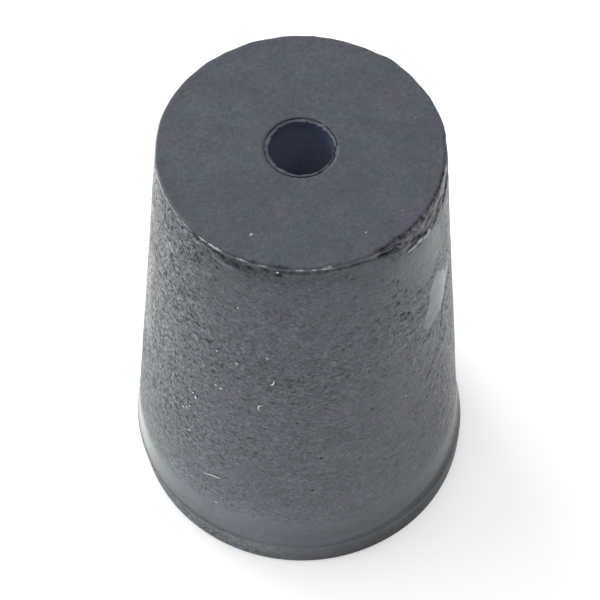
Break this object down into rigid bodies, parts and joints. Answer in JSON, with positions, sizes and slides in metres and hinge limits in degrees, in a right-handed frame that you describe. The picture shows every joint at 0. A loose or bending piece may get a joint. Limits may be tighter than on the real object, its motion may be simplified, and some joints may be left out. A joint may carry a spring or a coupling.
{
  "type": "rubber stopper",
  "caption": "Tapered rubber plug with a small hole through its axis, which closes a flask or test tube and holds a glass tube.",
  "frame": {"origin": "where the bore's axis meets the wide face, on the plane that the stopper stands on", "axes": "+Z along the bore, from the wide face to the narrow face; +X the way the land sits to one side of the taper"},
  "size_m": [0.0192, 0.019, 0.0265],
  "materials": {
    "rubber": "moulded black rubber, matt, with a pitted side and a faint grey bloom"
  },
  "bodies": {
    "root": {"stopper": "rubber"}
  },
  "joints": []
}
